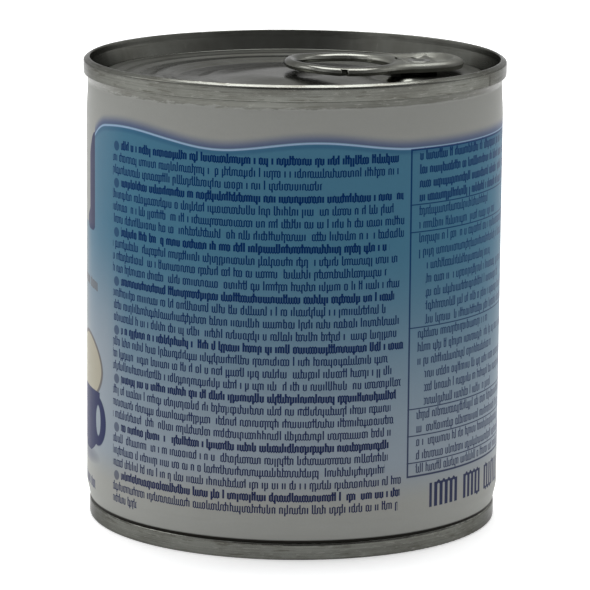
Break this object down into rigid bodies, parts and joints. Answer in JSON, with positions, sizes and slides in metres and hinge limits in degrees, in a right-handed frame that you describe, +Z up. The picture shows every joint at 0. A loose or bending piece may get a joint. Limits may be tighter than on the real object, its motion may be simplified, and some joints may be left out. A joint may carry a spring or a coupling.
{
  "type": "condensed milk can",
  "caption": "Shut round steel can of sweetened condensed milk, with seamed ends, a recessed lid and a ring-pull tab; it stands on its base and stacks.",
  "frame": {"origin": "centre of the base, on the floor that the can stands on", "axes": "+Z up along the can's axis, +X about the way the ring-pull's nose points"},
  "size_m": [0.0744, 0.0744, 0.082],
  "materials": {
    "printed_wall": "satin printed tinplate, pale grey with a teal-blue field",
    "tin_lid": "satin tinplate with pressed rings",
    "tin_base": "satin tinplate, lightly scuffed",
    "tab_steel": "bright satin steel with curled edges"
  },
  "bodies": {
    "root": {"can_body": "printed_wall", "top_end": "tin_lid", "bottom_end": "tin_base", "pull_tab": "tab_steel"}
  },
  "joints": []
}
